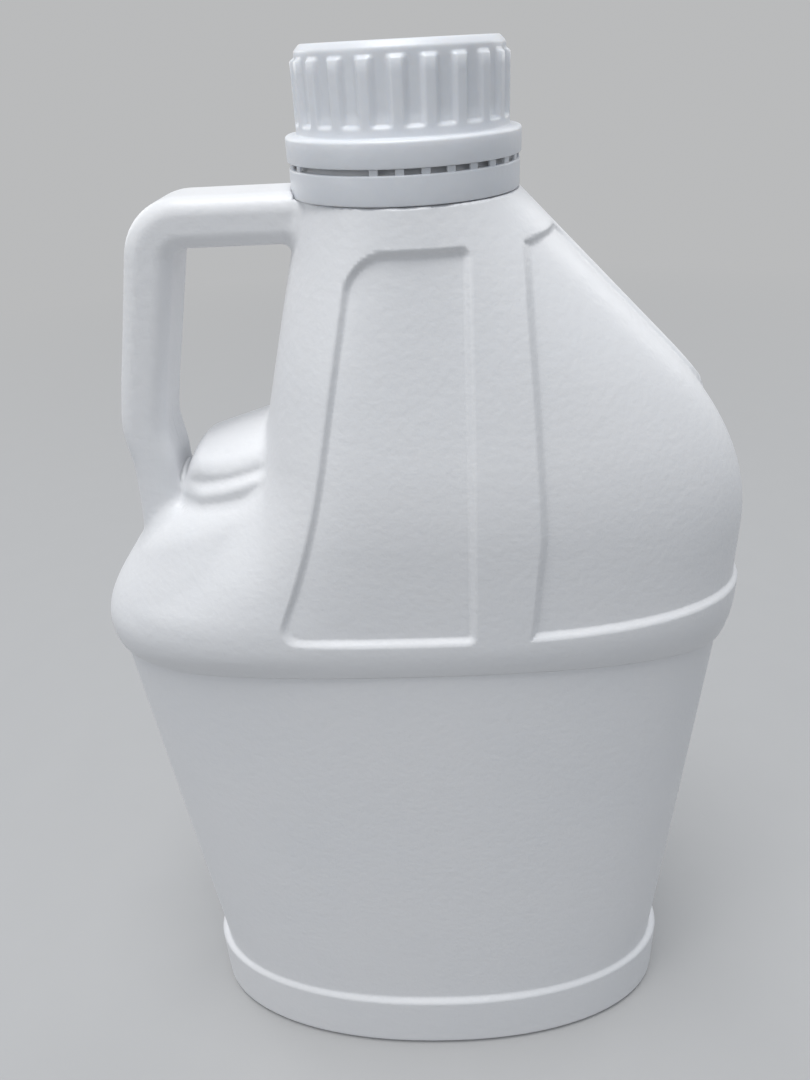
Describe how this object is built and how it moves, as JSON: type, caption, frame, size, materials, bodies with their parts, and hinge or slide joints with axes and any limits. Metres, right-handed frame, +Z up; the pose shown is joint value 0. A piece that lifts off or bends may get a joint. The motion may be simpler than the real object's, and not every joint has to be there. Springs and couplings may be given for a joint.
{
  "type": "detergent bottle",
  "caption": "White blow-moulded oval jug with a hollow side handle, sunk shoulder panels and a threaded neck, closed by a ribbed screw cap over a loose tamper band.",
  "frame": {"origin": "on the neck axis, at the surface the bottle stands on", "axes": "+Z up along the neck axis, -X towards the handle, Y across the thin side of the bottle"},
  "size_m": [0.2004, 0.0852, 0.34],
  "materials": {
    "body_plastic": "satin white blow-moulded polyethylene",
    "cap_plastic": "satin milky moulded polyethylene",
    "liner_foam": "fine foam"
  },
  "bodies": {
    "bottle": {"bottle_body": "body_plastic"},
    "liner": {"cap_liner": "liner_foam"},
    "cap": {"screw_cap": "cap_plastic"},
    "band": {"tamper_band": "cap_plastic"}
  },
  "joints": [
    {"name": "cap_lift", "type": "slide", "parent": "bottle", "child": "liner", "axis": [0, 0, 1], "range_m": [0, 0.0226]},
    {"name": "cap_turn", "type": "hinge", "parent": "liner", "child": "cap", "pos_m": [0, 0, 0.33], "axis": [0, 0, 1], "range_deg": [0, 1620]},
    {"name": "band_turn", "type": "hinge", "parent": "bottle", "child": "band", "pos_m": [0, 0, 0.31], "axis": [0, 0, 1], "continuous": true}
  ],
  "couplings": [
    {"joint": "cap_lift", "follows": "cap_turn", "m_per_rad": 0.00079577}
  ]
}
